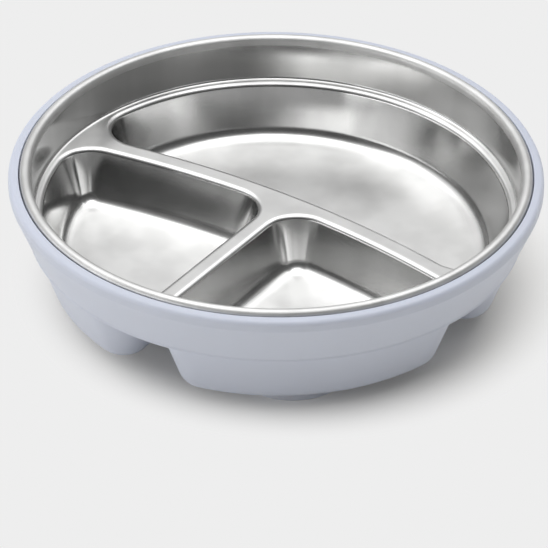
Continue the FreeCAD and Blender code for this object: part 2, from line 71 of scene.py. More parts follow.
@dataclass(frozen=True)
class PlateSizes:
    """Driving sizes of the dish, the shell, their clearances and the cups."""

    steel_sheet: float = 0.0006
    bead_radius: float = 0.00215
    bead_slit: float = math.radians(60.0)
    bowl_depth: float = 0.0185
    bowl_draft: float = math.radians(3.8)
    ledge_radius: float = 0.0942
    ledge_width: float = 0.0032
    ledge_round: float = 0.0012
    compartment_depth: float = 0.021
    draft: float = math.radians(20.0)
    floor_round: float = 0.0070
    mouth_round: float = 0.0024
    bar_width: float = 0.0079
    bar_bend: float = 0.396
    bar_crown: float = 0.00785
    divider_width: float = 0.007
    tee_corner: float = 0.0068
    rim_corner: float = 0.0059
    shell_wall: float = 0.0023
    shell_floor_round: float = 0.0078
    shell_inner_floor_round: float = 0.0055
    shell_step_width: float = 0.0015
    shell_foot_round: float = 0.0004
    shell_foot_band: float = 0.0013
    shell_root_round: float = 0.0004
    well_mouth_round: float = 0.0005
    lip_width: float = 0.0039
    lip_fall: float = 0.0006
    lip_round: float = 0.002
    lip_band: float = 0.004
    lip_band_round: float = 0.0015
    lip_inner_round: float = 0.0004
    bead_proud: float = 0.0015
    bead_gap: float = 0.0005
    bead_seat_gap: float = 0.0001
    side_gap: float = 0.0004
    ledge_air: float = 0.0035
    divider_gap: float = 0.001
    near_bar_gap: float = 0.0017
    far_bar_gap: float = 0.0004
    rim_gap: float = 0.0034
    tee_corner_extra: float = -0.0006
    rim_corner_extra: float = 0.0034
    floor_air: float = 0.007
    cup_drop: float = 0.0053
    cup_radius: float = 0.0228
    cup_spread: float = 0.0374
    cup_reach: float = 0.043
    cup_lip: float = 0.0008
    cup_bevel: float = 0.0006
    cup_foot: float = 0.0012
    cup_shoulder_radius: float = 0.013
    cup_shoulder_drop: float = 0.0008
    cup_shoulder_wall: float = 0.002
    cup_shoulder_round: float = 0.009
    cup_hollow: float = 0.003
    cup_eye_radius: float = 0.0076
    cup_eye_depth: float = 0.0007
    cup_collar_radius: float = 0.009
    stem_radius: float = 0.0036
    stem_gap: float = 0.00015
    stem_head_radius: float = 0.0064
    stem_head_height: float = 0.003
    stem_head_bevel: float = 0.0014

    @property
    def shell_floor(self) -> float:
        """Height of the shell's floor, inside."""
        return self.cup_drop + self.shell_wall

    @property
    def steel_underside(self) -> float:
        """Height of the underside of the steel compartments."""
        return self.shell_floor + self.floor_air

    @property
    def steel_floor(self) -> float:
        """Height of the compartments' floors."""
        return self.steel_underside + self.steel_sheet

    @property
    def ledge_top(self) -> float:
        """Height of the ledge, the bar and the divider."""
        return self.steel_floor + self.compartment_depth

    @property
    def ledge_underside(self) -> float:
        """Height of the underside of the ledge."""
        return self.ledge_top - self.steel_sheet

    @property
    def crest(self) -> float:
        """Height of the top of the rolled rim."""
        return self.ledge_top + self.bowl_depth

    @property
    def bead_centre(self) -> float:
        """Height of the middle of the rolled rim."""
        return self.crest - self.bead_radius

    @property
    def bead_ring(self) -> float:
        """Radius of the ring through the middle of the rolled rim."""
        return self.bowl_side(self.bead_centre) + self.bead_radius / math.cos(self.bowl_draft)

    @property
    def rabbet_floor(self) -> float:
        """Height of the seat under the rolled rim."""
        return self.bead_centre - self.bead_radius - self.bead_seat_gap

    @property
    def rabbet_radius(self) -> float:
        """Radius of the shell's lip, inside."""
        return self.bead_ring + self.bead_radius + self.bead_gap

    @property
    def lip_radius(self) -> float:
        """Radius of the shell's lip, outside."""
        return self.rabbet_radius + self.lip_width

    @property
    def lip_top(self) -> float:
        """Height of the shell's lip."""
        return self.crest - self.bead_proud

    @property
    def step_top(self) -> float:
        """Height of the shell's step, inside."""
        return self.ledge_underside - self.ledge_air

    @property
    def step_underside(self) -> float:
        """Height of the shell's step, outside."""
        return self.step_top - self.shell_wall

    @property
    def mouth_radius(self) -> float:
        """Radius of the compartments' edge beside the rim."""
        return self.ledge_radius - self.ledge_width

    @property
    def mouth_spread(self) -> float:
        """How much wider a compartment is at its mouth than at its floor, on one side."""
        return self.compartment_depth * math.tan(self.draft)

    def bowl_side(self, height: float) -> float:
        """Radius of the dish's upper wall, inside, at a height."""
        return self.ledge_radius + (height - self.ledge_top) * math.tan(self.bowl_draft)


SIZES = PlateSizes()


# Sections: lines in the plane of reach, measured outwards from a path, and height

@dataclass(frozen=True)
class Corner:
    """A corner of a section and the radius that rounds it."""

    reach: float
    height: float
    radius: float = 0.0

    @property
    def point(self) -> Vector:
        """The corner as a point of the section."""
        return Vector((self.reach, self.height))


@dataclass(frozen=True)
class Rounding:
    """How finely a section is divided."""

    steps: int = 10
    hold: float = 0.0001  # an extra point beside each arc keeps the flat run's shading flat

    def apply(self, corners: list[Corner]) -> list[Point]:
        """Turn corners into points, with an arc at each rounded corner between the ends.

        Args:
            corners: The section's corners in order.

        Returns:
            The points of the section.
        """
        points: list[Point] = []
        for index, corner in enumerate(corners):
            is_end = index in (0, len(corners) - 1)
            if is_end or corner.radius <= 0.0:
                points.append((corner.reach, corner.height))
            else:
                points.extend(self.arc(corners[index - 1], corner, corners[index + 1]))
        return points

    def arc(self, before: Corner, corner: Corner, after: Corner) -> list[Point]:
        """Points of the arc that rounds one corner, with a held point at each end.

        Args:
            before: The corner before it.
            corner: The rounded corner.
            after: The corner after it.

        Returns:
            The arc's points and the held points on the runs beside it.
        """
        back = (before.point - corner.point).normalized()
        ahead = (after.point - corner.point).normalized()
        half = back.angle(ahead) / 2.0
        tangent = corner.radius / math.tan(half)
        centre = corner.point + (back + ahead).normalized() * (corner.radius / math.sin(half))
        first = corner.point + back * tangent - centre
        turn = first.angle_signed(corner.point + ahead * tangent - centre)
        points = []
        if (before.point - corner.point).length > tangent + self.hold:
            points.append(tuple(corner.point + back * (tangent + self.hold)))
        for step in range(self.steps + 1):
            spin = Matrix.Rotation(-turn * step / self.steps, 2)
            points.append(tuple(centre + spin @ first))
        if (after.point - corner.point).length > tangent + self.hold:
            points.append(tuple(corner.point + ahead * (tangent + self.hold)))
        return points


def circle_points(centre: Point, radius: float, start: float, end: float, steps: int) -> list[Point]:
    """Points of an arc from one angle to another, ends included.

    Args:
        centre: The arc's centre.
        radius: The arc's radius.
        start: First angle in radians.
        end: Last angle in radians.
        steps: Number of runs between the points.

    Returns:
        The points in order.
    """
    angles = [start + (end - start) * step / steps for step in range(steps + 1)]
    return [(centre[0] + radius * math.cos(a), centre[1] + radius * math.sin(a)) for a in angles]


def ring_points(centre: Point, radius: float, turns: int) -> list[Point]:
    """Points of a whole circle, the first one not repeated."""
    return circle_points(centre, radius, 0.0, 2.0 * math.pi, turns)[:-1]


# Outlines of the compartments, seen from above, counterclockwise

@dataclass(frozen=True)
class Outline:
    """The three compartments' outlines at one level, from radii of walls and corners."""

    rim: float
    near_bend: float
    far_bend: float
    half_divider: float
    tee_corner: float
    rim_corner: float
    pivot: float = -(SIZES.bar_bend - SIZES.bar_crown)
    step: float = 0.0011  # length of one run along an outline
    least: int = 10  # runs in the shortest arc

    def large(self) -> list[Point]:
        """The half-moon compartment beyond the bar.

        Returns:
            The outline's points.
        """
        right = meeting(self.rim - self.rim_corner, self.pivot, self.far_bend + self.rim_corner)
        rim_angle = math.atan2(right[1], right[0])
        bar_angle = math.atan2(right[1] - self.pivot, right[0])
        left = (-right[0], right[1])
        points = self.arc((0.0, 0.0), self.rim, rim_angle, math.pi - rim_angle)
        points += self.arc(left, self.rim_corner, math.pi - rim_angle, 2.0 * math.pi - bar_angle)
        points += self.arc((0.0, self.pivot), self.far_bend, math.pi - bar_angle, bar_angle)
        points += self.arc(right, self.rim_corner, bar_angle - math.pi, rim_angle)
        return points

    def small(self, facing: Facing) -> list[Point]:
        """One of the two compartments before the bar.

        Args:
            facing: The side that it lies on.

        Returns:
            The outline's points.
        """
        side, corner, tee = self.half_divider, self.rim_corner, self.tee_corner
        near = (side + corner, -math.sqrt((self.rim - corner) ** 2 - (side + corner) ** 2))
        far = meeting(self.rim - corner, self.pivot, self.near_bend - corner)
        inner_y = self.pivot + math.sqrt((self.near_bend - tee) ** 2 - (side + tee) ** 2)
        inner = (side + tee, inner_y)
        near_angle = math.atan2(near[1], near[0])
        far_angle = math.atan2(far[1], far[0])
        bar_far = math.atan2(far[1] - self.pivot, far[0])
        bar_inner = math.atan2(inner[1] - self.pivot, inner[0])
        points = self.arc(near, corner, -math.pi, near_angle)
        points += self.arc((0.0, 0.0), self.rim, near_angle, far_angle)
        points += self.arc(far, corner, far_angle, bar_far)
        points += self.arc((0.0, self.pivot), self.near_bend, bar_far, bar_inner)
        points += self.arc(inner, tee, bar_inner, math.pi)
        points += self.run((side, inner[1]), (side, near[1]))
        if facing is Facing.LEFT:
            points = [(-x, y) for x, y in reversed(points)]
        return points

    def all(self) -> list[list[Point]]:
        """The three outlines."""
        return [self.large(), self.small(Facing.RIGHT), self.small(Facing.LEFT)]

    def arc(self, centre: Point, radius: float, start: float, end: float) -> list[Point]:
        """An arc without its last point, which the next piece of the outline starts with."""
        steps = max(self.least, round(abs(end - start) * radius / self.step))
        return circle_points(centre, radius, start, end, steps)[:-1]

    def run(self, start: Point, end: Point) -> list[Point]:
        """A straight run without its last point."""
        steps = max(1, round(math.dist(start, end) / self.step))
        return [tuple(Vector(start).lerp(Vector(end), i / steps)) for i in range(steps)]


def meeting(rim_distance: float, pivot: float, pivot_distance: float) -> Point:
    """The point right of the middle at given distances from the origin and the pivot.

    Args:
        rim_distance: Distance from the origin.
        pivot: Place of the bar's pivot on the Y axis.
        pivot_distance: Distance from the pivot.

    Returns:
        The point.
    """
    y = (rim_distance ** 2 - pivot_distance ** 2 + pivot ** 2) / (2.0 * pivot)
    return math.sqrt(rim_distance ** 2 - y ** 2), y


# Geometry Nodes

def socket_key(tree: NodeTree, name: str) -> str:
    """Identifier of a tree's input socket, which a modifier is set by.

    Args:
        tree: The node tree.
        name: The socket's name.

    Returns:
        The identifier.
    """
    return next(item.identifier for item in tree.interface.items_tree
                if item.name == name and item.in_out == "INPUT")


def new_tree(name: str, inputs: dict[str, str]) -> NodeTree:
    """An empty geometry tree with named inputs and one geometry output.

    Args:
        name: The tree's name.
        inputs: Socket type by input name.

    Returns:
        The tree.
    """
    tree = bpy.data.node_groups.new(name, "GeometryNodeTree")
    tree.is_modifier = True
    tree.interface.new_socket("Geometry", in_out="INPUT", socket_type="NodeSocketGeometry")
    for socket, kind in inputs.items():
        tree.interface.new_socket(socket, in_out="INPUT", socket_type=kind)
    tree.interface.new_socket("Geometry", in_out="OUTPUT", socket_type="NodeSocketGeometry")
    return tree


def place_nodes(tree: NodeTree, kinds: dict[str, str],
                joins: Iterable[tuple[str, str, str, str]]) -> dict[str, Node]:
    """Place a tree's nodes and link them.

    Args:
        tree: The tree.
        kinds: Node type by name.
        joins: Node, output, node and input of each link.

    Returns:
        The nodes by name.
    """
    nodes = {name: tree.nodes.new(kind) for name, kind in kinds.items()}
    for source, output, target, socket in joins:
        tree.links.new(nodes[source].outputs[output], nodes[target].inputs[socket])
    return nodes


def sweep_tree() -> NodeTree:
    """A tree that sweeps sections along level paths and gives the skin a finish.

    Returns:
        The tree, with inputs Path, Sections, Merge and Finish.
    """
    tree = new_tree("Sections swept along paths", {
        "Path": "NodeSocketObject",
        "Sections": "NodeSocketObject",
        "Merge": "NodeSocketFloat",
        "Finish": "NodeSocketMaterial",
    })
    nodes = place_nodes(tree, {
        "given": "NodeGroupInput",
        "path": "GeometryNodeObjectInfo",
        "sections": "GeometryNodeObjectInfo",
        "upright": "GeometryNodeSetCurveNormal",
        "skin": "GeometryNodeCurveToMesh",
        "merge": "GeometryNodeMergeByDistance",
        "smooth": "GeometryNodeSetShadeSmooth",
        "real": "GeometryNodeRealizeInstances",
        "finish": "GeometryNodeSetMaterial",
        "out": "NodeGroupOutput",
    }, (
        ("given", "Path", "path", "Object"),
        ("given", "Sections", "sections", "Object"),
        ("path", "Geometry", "upright", "Curve"),
        ("upright", "Curve", "skin", "Curve"),
        ("sections", "Geometry", "skin", "Profile Curve"),
        ("skin", "Mesh", "merge", "Geometry"),
        ("given", "Merge", "merge", "Distance"),
        ("merge", "Geometry", "smooth", "Geometry"),
        ("smooth", "Geometry", "real", "Geometry"),
        ("real", "Geometry", "finish", "Geometry"),
        ("given", "Finish", "finish", "Material"),
        ("finish", "Geometry", "out", "Geometry"),
    ))
    nodes["upright"].mode = "Z_UP"
    return tree


def repeat_tree() -> NodeTree:
    """A tree that puts one piece at every point of a mesh.

    Returns:
        The tree, with inputs Piece and Finish.
    """
    tree = new_tree("Piece at every point", {
        "Piece": "NodeSocketObject",
        "Finish": "NodeSocketMaterial",
    })
    place_nodes(tree, {
        "given": "NodeGroupInput",
        "piece": "GeometryNodeObjectInfo",
        "spread": "GeometryNodeInstanceOnPoints",
        "real": "GeometryNodeRealizeInstances",
        "finish": "GeometryNodeSetMaterial",
        "out": "NodeGroupOutput",
    }, (
        ("given", "Geometry", "spread", "Points"),
        ("given", "Piece", "piece", "Object"),
        ("piece", "Geometry", "spread", "Instance"),
        ("spread", "Instances", "real", "Geometry"),
        ("real", "Geometry", "finish", "Geometry"),
        ("given", "Finish", "finish", "Material"),
        ("finish", "Geometry", "out", "Geometry"),
    ))
    return tree


def link(thing: Thing) -> Thing:
    """Put an object into the scene and return it."""
    bpy.context.scene.collection.objects.link(thing)
    return thing


def line_object(name: str, lines: Iterable[list[Point]], is_path: bool) -> Thing:
    """A curve object of straight runs, as closed paths in plan or as open sections.

    Args:
        name: The object's name.
        lines: Points of each line.
        is_path: Whether the lines are paths. A sweep reads the height of sections downwards.

    Returns:
        The curve object.
    """
    curve = bpy.data.curves.new(name, "CURVE")
    curve.dimensions = "3D"
    sign = 1.0 if is_path else -1.0
    for points in lines:
        spline = curve.splines.new("POLY")
        spline.points.add(len(points) - 1)
        for knot, (across, along) in zip(spline.points, points):
            knot.co = (across, along * sign, 0.0, 1.0)
        spline.use_cyclic_u = is_path
    return link(bpy.data.objects.new(name, curve))


class Workshop:
    """Makes meshes with the two node trees and joins them into pieces."""

    def __init__(self) -> None:
        """Build the trees once."""
        self.sweeps = sweep_tree()
        self.repeats = repeat_tree()

    def swept(self, paths: list[list[Point]], sections: list[list[Point]], finish: Material) -> Mesh:
        """Sweep sections along closed level paths.

        Args:
            paths: Outlines in plan, counterclockwise.
            sections: Lines of reach and height.
            finish: The skin's material.

        Returns:
            The skin as a plain mesh.
        """
        path = line_object("path", paths, is_path=True)
        section = line_object("sections", sections, is_path=False)
        values = {"Path": path, "Sections": section, "Merge": TIDY, "Finish": finish}
        mesh = self.evaluated(bpy.data.meshes.new("sweep"), self.sweeps, values)
        for helper in (path, section):
            bpy.data.objects.remove(helper)
        return mesh

    def turned(self, section: list[Point], radius: float, turns: int, finish: Material) -> Mesh:
        """Sweep a section round the plate's axis.

        Args:
            section: A line of radius and height.
            radius: Radius of the ring that carries it.
            turns: Runs round the ring.
            finish: The skin's material.

        Returns:
            The skin as a plain mesh.
        """
        reaches = [(reach - radius, height) for reach, height in section]
        return self.swept([ring_points((0.0, 0.0), radius, turns)], [reaches], finish)

    def repeated(self, mesh: Mesh, places: list[Point], finish: Material) -> Mesh:
        """Repeat a mesh at places on the table.

        Args:
            mesh: The mesh of one piece, about its own axis.
            places: Where the pieces stand, in plan.
            finish: Their material.

        Returns:
            All the pieces as one plain mesh.
        """
        points = bpy.data.meshes.new("places")
        points.from_pydata([(x, y, 0.0) for x, y in places], [], [])
        piece = link(bpy.data.objects.new("one_piece", mesh))
        joined = self.evaluated(points, self.repeats, {"Piece": piece, "Finish": finish})
        bpy.data.objects.remove(piece)
        return joined

    def evaluated(self, mesh: Mesh, tree: NodeTree, values: dict[str, object]) -> Mesh:
        """Run a tree on a mesh and keep its result as a plain mesh.

        Args:
            mesh: The mesh that the tree starts from.
            tree: The geometry tree.
            values: Value by input name.

        Returns:
            The result.
        """
        holder = link(bpy.data.objects.new("holder", mesh))
        modifier = holder.modifiers.new("tree", "NODES")
        modifier.node_group = tree
        for name, value in values.items():
            modifier[socket_key(tree, name)] = value
        graph = bpy.context.evaluated_depsgraph_get()
        result = bpy.data.meshes.new_from_object(
            holder.evaluated_get(graph), preserve_all_data_layers=True, depsgraph=graph)
        bpy.data.objects.remove(holder)
        return result


class Skin:
    """Joins swept meshes into one closed skin."""

    def __init__(self, meshes: Iterable[Mesh]) -> None:
        """Take in the meshes and merge the points they share.

        Args:
            meshes: The swept meshes, which are used up.
        """
        self.form = bmesh.new()
        for mesh in meshes:
            self.form.from_mesh(mesh)
            bpy.data.meshes.remove(mesh)
        self.merge()

    def merge(self) -> None:
        """Make one point of points in the same place."""
        bmesh.ops.remove_doubles(self.form, verts=self.form.verts, dist=TIDY)

    def close_flat(self, height: float) -> None:
        """Fill the flat face between the open edges at a height.

        Args:
            height: The flat face's height.
        """
        edges = [edge for edge in self.form.edges if edge.is_boundary
                 and all(abs(point.co.z - height) < TIDY for point in edge.verts)]
        made = bmesh.ops.triangle_fill(self.form, edges=edges, use_beauty=True, use_dissolve=False)
        for face in made["geom"]:
            if isinstance(face, bmesh.types.BMFace):
                face.smooth = True

    def piece(self, name: str, finish: Material) -> Thing:
        """Finish the skin as an object whose faces point outwards.

        Args:
            name: The object's name.
            finish: Its material.

        Returns:
            The object.
        """
        self.merge()
        bmesh.ops.recalc_face_normals(self.form, faces=self.form.faces)
        open_edges = sum(not edge.is_manifold for edge in self.form.edges)
        LOG.info("%s: %d faces, %d open edges", name, len(self.form.faces), open_edges)
        mesh = bpy.data.meshes.new(name)
        self.form.to_mesh(mesh)
        self.form.free()
        mesh.materials.clear()
        mesh.materials.append(finish)
        mesh.shade_smooth()
        return link(bpy.data.objects.new(name, mesh))


# Surface effects that several materials share

MIX_SOCKETS = {"FLOAT": (2, 3, 0), "RGBA": (6, 7, 2)}  # a Mix node's two inputs and its output


class NodeSheet:
    """Short calls that place and join the nodes of one shader tree."""

    def __init__(self, tree: NodeTree) -> None:
        """Keep the tree."""
        self.nodes = tree.nodes
        self.links = tree.links

    def add(self, kind: str, feeds: Feeds | None = None, **settings: object) -> Node:
        """Add a node, set its own properties and feed its inputs.

        Args:
            kind: The node's type.
            feeds: What its inputs get.
            **settings: Property values by name.

        Returns:
            The node.
        """
        node = self.nodes.new(kind)
        for name, value in settings.items():
            setattr(node, name, value)
        self.feed(node, feeds or {})
        return node

    def feed(self, node: Node, feeds: Feeds) -> None:
        """Join sockets to a node's inputs, or set the inputs' own values.

        Args:
            node: The node.
            feeds: What its inputs get.
        """
        for name, value in feeds.items():
            if isinstance(value, Socket):
                self.links.new(value, node.inputs[name])
            else:
                node.inputs[name].default_value = value

    def place(self) -> Socket:
        """Coordinates on the shaded piece."""
        return self.add("ShaderNodeTexCoord").outputs["Object"]

    def rise(self, vector: Socket) -> Socket:
        """A vector's part along Z."""
        return self.add("ShaderNodeSeparateXYZ", {"Vector": vector}).outputs["Z"]

    def noise(self, place: Socket, scale: float | Socket, detail: float) -> Socket:
        """A noise pattern's value at a place.

        Args:
            place: Coordinates.
            scale: Repeats per metre.
            detail: Number of finer layers.

        Returns:
            The value socket.
        """
        feeds = {"Vector": place, "Scale": scale, "Detail": detail}
        return self.add("ShaderNodeTexNoise", feeds).outputs["Fac"]

    def stretched(self, place: Socket, scale: tuple[float, float, float]) -> Socket:
        """Coordinates scaled along each axis."""
        return self.add("ShaderNodeMapping", {"Vector": place, "Scale": scale}).outputs["Vector"]

    def product(self, first: Socket, second: Socket) -> Socket:
        """Two values multiplied."""
        return self.add("ShaderNodeMath", {0: first, 1: second}, operation="MULTIPLY").outputs[0]

    def total(self, first: Socket, second: Socket) -> Socket:
        """Two values added."""
        return self.add("ShaderNodeMath", {0: first, 1: second}, operation="ADD").outputs[0]

    def spread(self, value: Socket, low: float, high: float, new_low: float, new_high: float) -> Socket:
        """A value mapped smoothly from one range to another.

        Args:
            value: The value.
            low: Bottom of its range.
            high: Top of its range.
            new_low: What the bottom becomes.
            new_high: What the top becomes.

        Returns:
            The mapped value.
        """
        feeds = {"Value": value, "From Min": low, "From Max": high,
                 "To Min": new_low, "To Max": new_high}
        node = self.add("ShaderNodeMapRange", feeds, interpolation_type="SMOOTHSTEP")
        return node.outputs["Result"]

    def mixed(self, kind: str, factor: Socket, first: object, second: object) -> Socket:
        """One value or colour turned into another by a factor.

        Args:
            kind: The kind of data, a key of MIX_SOCKETS.
            factor: 0 gives the first, 1 the second.
            first: A socket or a value.
            second: A socket or a value.

        Returns:
            The result.
        """
        start, end, result = MIX_SOCKETS[kind]
        feeds = {0: factor, start: first, end: second}
        return self.add("ShaderNodeMix", feeds, data_type=kind).outputs[result]

    def bumped(self, pattern: Socket, depth: float) -> Socket:
        """A normal that a pattern bends, to a given depth."""
        feeds = {"Height": pattern, "Distance": depth, "Strength": 1.0}
        return self.add("ShaderNodeBump", feeds).outputs["Normal"]


CLOUD_ENDS = (0.3, 0.7)  # the handled surface's values between its two kinds of patch
STREAK_ENDS = (0.35, 0.65)  # the drawn sheet's values between dark and light streaks
LEVEL_ENDS = (0.75, 0.98)  # a normal's upright share on tilted and on level faces


def new_effect(name: str, inputs: dict[str, float], outputs: Iterable[str]) -> NodeTree:
    """An empty shader group with named values in and out.

    Args:
        name: The group's name.
        inputs: Default value by input name.
        outputs: Output names.

    Returns:
        The group.
    """
    tree = bpy.data.node_groups.new(name, "ShaderNodeTree")
    for socket, default in inputs.items():
        made = tree.interface.new_socket(socket, in_out="INPUT", socket_type="NodeSocketFloat")
        made.default_value = default
    for socket in outputs:
        tree.interface.new_socket(socket, in_out="OUTPUT", socket_type="NodeSocketFloat")
    return tree


def cloud_effect() -> NodeTree:
    """Slow unevenness and a fine speckle, as on any handled or moulded surface.

    Returns:
        The group, with inputs Patch and Speckle (repeats per metre) and outputs Cloud and Fine.
    """
    tree = new_effect("Handled surface", {"Patch": 40.0, "Speckle": 2500.0}, ("Cloud", "Fine"))
    sheet = NodeSheet(tree)
    place, given = sheet.place(), sheet.add("NodeGroupInput").outputs
    sheet.add("NodeGroupOutput", {
        "Cloud": sheet.noise(place, given["Patch"], detail=3.0),
        "Fine": sheet.noise(place, given["Speckle"], detail=1.0),
    })
    return tree


def drawn_effect() -> NodeTree:
    """Marks of deep drawing: upright streaks on walls and a straight grain on level faces.

    Returns:
        The group, with outputs Grain, Streak and Level, which is 1 on level faces.
    """
    tree = new_effect("Drawn sheet", {}, ("Grain", "Streak", "Level"))
    sheet = NodeSheet(tree)
    place = sheet.place()
    streaks = sheet.noise(sheet.stretched(place, (1.0, 1.0, 0.03)), scale=420.0, detail=4.0)
    wide = sheet.noise(sheet.stretched(place, (1.0, 1.0, 0.1)), scale=60.0, detail=2.0)
    grain = sheet.noise(sheet.stretched(place, (0.05, 1.0, 1.0)), scale=2400.0, detail=3.0)
    normal = sheet.add("ShaderNodeNewGeometry").outputs["Normal"]
    upright = sheet.add("ShaderNodeMath", {0: sheet.rise(normal)}, operation="ABSOLUTE").outputs[0]
    level = sheet.spread(upright, *LEVEL_ENDS, 0.0, 1.0)
    marks = sheet.mixed("FLOAT", level, streaks, grain)
    sheet.add("NodeGroupOutput", {"Grain": marks, "Streak": wide, "Level": level})
    return tree


# Finishes

@dataclass(frozen=True)
class SteelFinish:
    """Satin drawn stainless steel."""

    name: str = "satin_steel"
    colour: Colour = (0.72, 0.72, 0.715)
    shade: Colour = (0.64, 0.64, 0.635)  # in the streaks that drawing leaves
    smooth: float = 0.13
    rough: float = 0.19
    floor_satin: float = 0.14  # more roughness on the floors
    foot_satin: float = 0.07  # more roughness at the foot of the compartments' walls
    foot_height: float = 0.018
    ledge_satin: float = 0.16  # more roughness on the ledge and the bars
    ledge_fade: float = 0.001
    bead_satin: float = 0.34  # more roughness on the rolled rim
    grain_depth: float = 0.0000004

    def material(self, cloud: NodeTree, drawn: NodeTree) -> Material:
        """Make the material.

        Args:
            cloud: The handled surface effect.
            drawn: The drawn sheet effect.

        Returns:
            The material.
        """
        made, sheet, shader = new_material(self.name, self.colour)
        handled = effect_node(sheet, cloud)
        marks = effect_node(sheet, drawn)
        streaks = sheet.spread(marks.outputs["Streak"], *STREAK_ENDS, 0.0, 1.0)
        patches = sheet.spread(handled.outputs["Cloud"], *CLOUD_ENDS, self.smooth, self.rough)
        sheet.feed(shader, {
            "Metallic": 1.0,
            "Base Color": sheet.mixed("RGBA", streaks, (*self.shade, 1.0), (*self.colour, 1.0)),
            "Roughness": sheet.total(patches, self.satin(sheet, marks.outputs["Level"])),
            "Normal": sheet.bumped(marks.outputs["Grain"], self.grain_depth),
        })
        return made

    def satin(self, sheet: NodeSheet, level: Socket) -> Socket:
        """The added roughness of floors, walls' feet, ledge and rolled rim, by their heights.

        Args:
            sheet: The material's node sheet.
            level: 1 on level faces.

        Returns:
            The roughness to add.
        """
        height, floor = sheet.rise(sheet.place()), SIZES.steel_floor
        under, top, fade = SIZES.ledge_underside, SIZES.ledge_top, self.ledge_fade
        floors = sheet.product(level, sheet.spread(height, floor, under, self.floor_satin, 0.0))
        feet = sheet.spread(height, floor, floor + self.foot_height, self.foot_satin, 0.0)
        rise = sheet.spread(height, under - fade, under, 0.0, self.ledge_satin)
        ledge = sheet.product(rise, sheet.spread(height, top, top + fade, 1.0, 0.0))
        bead_foot = SIZES.bead_centre - SIZES.bead_radius
        bead = sheet.spread(height, bead_foot, SIZES.bead_centre, 0.0, self.bead_satin)
        return sheet.total(sheet.total(floors, feet), sheet.total(ledge, bead))


@dataclass(frozen=True)
class MouldedFinish:
    """A pale moulded material that lets a little light in."""

    name: str
    colour: Colour
    smooth: float
    rough: float
    inner_share: float  # share of the light that enters
    inner_spread: Colour  # how far each colour of it goes, against the depth
    inner_depth: float
    speckle_depth: float

    def material(self, cloud: NodeTree) -> Material:
        """Make the material.

        Args:
            cloud: The handled surface effect.

        Returns:
            The material.
        """
        made, sheet, shader = new_material(self.name, self.colour)
        handled = effect_node(sheet, cloud)
        sheet.feed(shader, {
            "Subsurface Weight": self.inner_share,
            "Subsurface Radius": self.inner_spread,
            "Subsurface Scale": self.inner_depth,
            "Roughness": sheet.spread(handled.outputs["Cloud"], *CLOUD_ENDS, self.smooth, self.rough),
        })
        if self.speckle_depth > 0.0:
            sheet.feed(shader, {"Normal": sheet.bumped(handled.outputs["Fine"], self.speckle_depth)})
        return made


SHELL_FINISH = MouldedFinish(
    name="pale_moulding",
    colour=(0.59, 0.625, 0.725),
    smooth=0.38,
    rough=0.47,
    inner_share=0.05,
    inner_spread=(0.6, 0.8, 1.0),
    inner_depth=0.001,
    speckle_depth=0.000004,
)
CUP_FINISH = MouldedFinish(
    name="milky_silicone",
    colour=(0.77, 0.81, 0.95),
    smooth=0.25,
    rough=0.38,
    inner_share=0.6,
    inner_spread=(0.9, 1.0, 1.1),
    inner_depth=0.004,
    speckle_depth=0.0,
)


def new_material(name: str, colour: Colour) -> tuple[Material, NodeSheet, Node]:
    """A material with one Principled shader.

    Args:
        name: The material's name.
        colour: Its base colour.

    Returns:
        The material, its node sheet and its shader.
    """
    made = bpy.data.materials.new(name)
    made.use_nodes = True
    sheet = NodeSheet(made.node_tree)
    shader = made.node_tree.nodes["Principled BSDF"]
    sheet.feed(shader, {"Base Color": (*colour, 1.0)})
    return made, sheet, shader


def effect_node(sheet: NodeSheet, effect: NodeTree) -> Node:
    """Place an effect's group in a material and return the node."""
    return sheet.add("ShaderNodeGroup", node_tree=effect)


# Sub-assemblies

